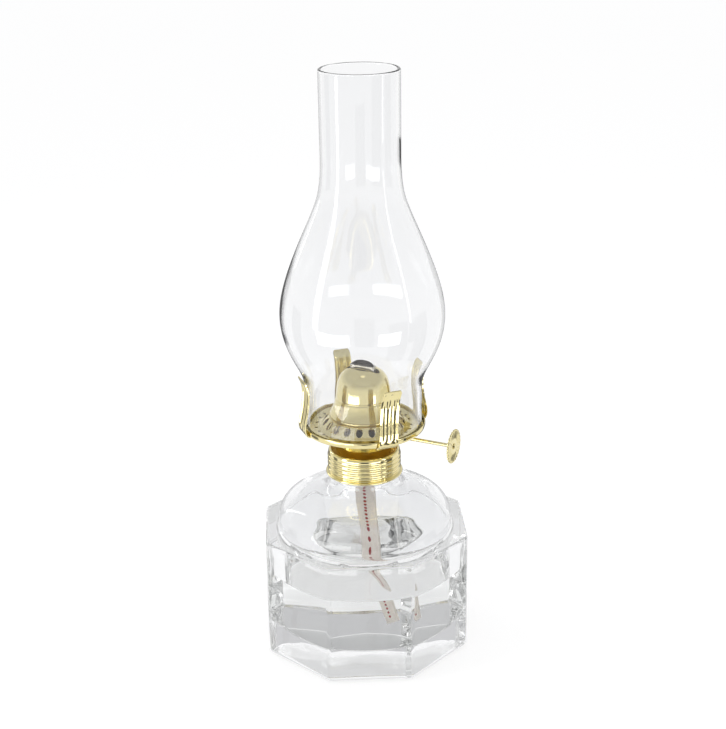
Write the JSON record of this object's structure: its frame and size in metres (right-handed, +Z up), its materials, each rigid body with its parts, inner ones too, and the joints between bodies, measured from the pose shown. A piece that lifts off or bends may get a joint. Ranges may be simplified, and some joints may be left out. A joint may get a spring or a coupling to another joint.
{
  "type": "oil lamp",
  "caption": "Clear glass table oil lamp: octagonal font half full of oil, brass flat-wick burner with knob and pronged gallery, and a bulbous glass chimney.",
  "frame": {"origin": "centre of the underside of the font, on the lamp's axis", "axes": "+Z up along the lamp's axis; +X and +Y square to two flats of the octagonal font"},
  "size_m": [0.11, 0.11, 0.32],
  "materials": {
    "clear_glass": "clear, polished",
    "oil": "clear liquid",
    "washer": "matte",
    "polished_brass": "polished",
    "plain_brass": "satin",
    "cotton": "woven, with a red stitched line"
  },
  "bodies": {
    "font": {"font": "clear_glass", "lamp_oil": "oil"},
    "seal": {"sealing_ring": "washer"},
    "burner": {"screw_collar": "polished_brass", "burner_floor": "plain_brass", "vent_tube": "plain_brass", "burner_bowl": "polished_brass", "shaft_eyelet": "plain_brass", "chimney_gallery": "polished_brass", "air_plate": "polished_brass", "dome_ring": "polished_brass", "flame_dome": "polished_brass", "wick_tube": "plain_brass", "shaft_bracket": "plain_brass"},
    "spindle": {"wick_shaft": "polished_brass", "spur_wheel_inner": "plain_brass", "spur_wheel_outer": "plain_brass", "wick_knob": "polished_brass"},
    "wick": {"wick": "cotton"},
    "chimney": {"chimney": "clear_glass"}
  },
  "joints": [
    {"name": "burner_lift", "type": "slide", "parent": "font", "child": "seal", "axis": [0, 0, 1], "range_m": [0, 0.0051], "deforming": ["lamp_oil"]},
    {"name": "burner_turn", "type": "hinge", "parent": "seal", "child": "burner", "pos_m": [0, 0, 0.109], "axis": [0, 0, 1], "range_deg": [0, 720]},
    {"name": "knob_turn", "type": "hinge", "parent": "burner", "child": "spindle", "pos_m": [0.00225, 0.00424, 0.122], "axis": [0.8829, -0.4695, 0], "range_deg": [-70, 70]},
    {"name": "wick_feed", "type": "slide", "parent": "burner", "child": "wick", "axis": [0, 0, 1], "range_m": [-0.0041, 0.0041]},
    {"name": "chimney_lift", "type": "slide", "parent": "burner", "child": "chimney", "axis": [0, 0, 1], "range_m": [0, 0.06]}
  ],
  "couplings": [
    {"joint": "burner_lift", "follows": "burner_turn", "m_per_rad": 0.00039789},
    {"joint": "wick_feed", "follows": "knob_turn", "m_per_rad": -0.0033}
  ]
}
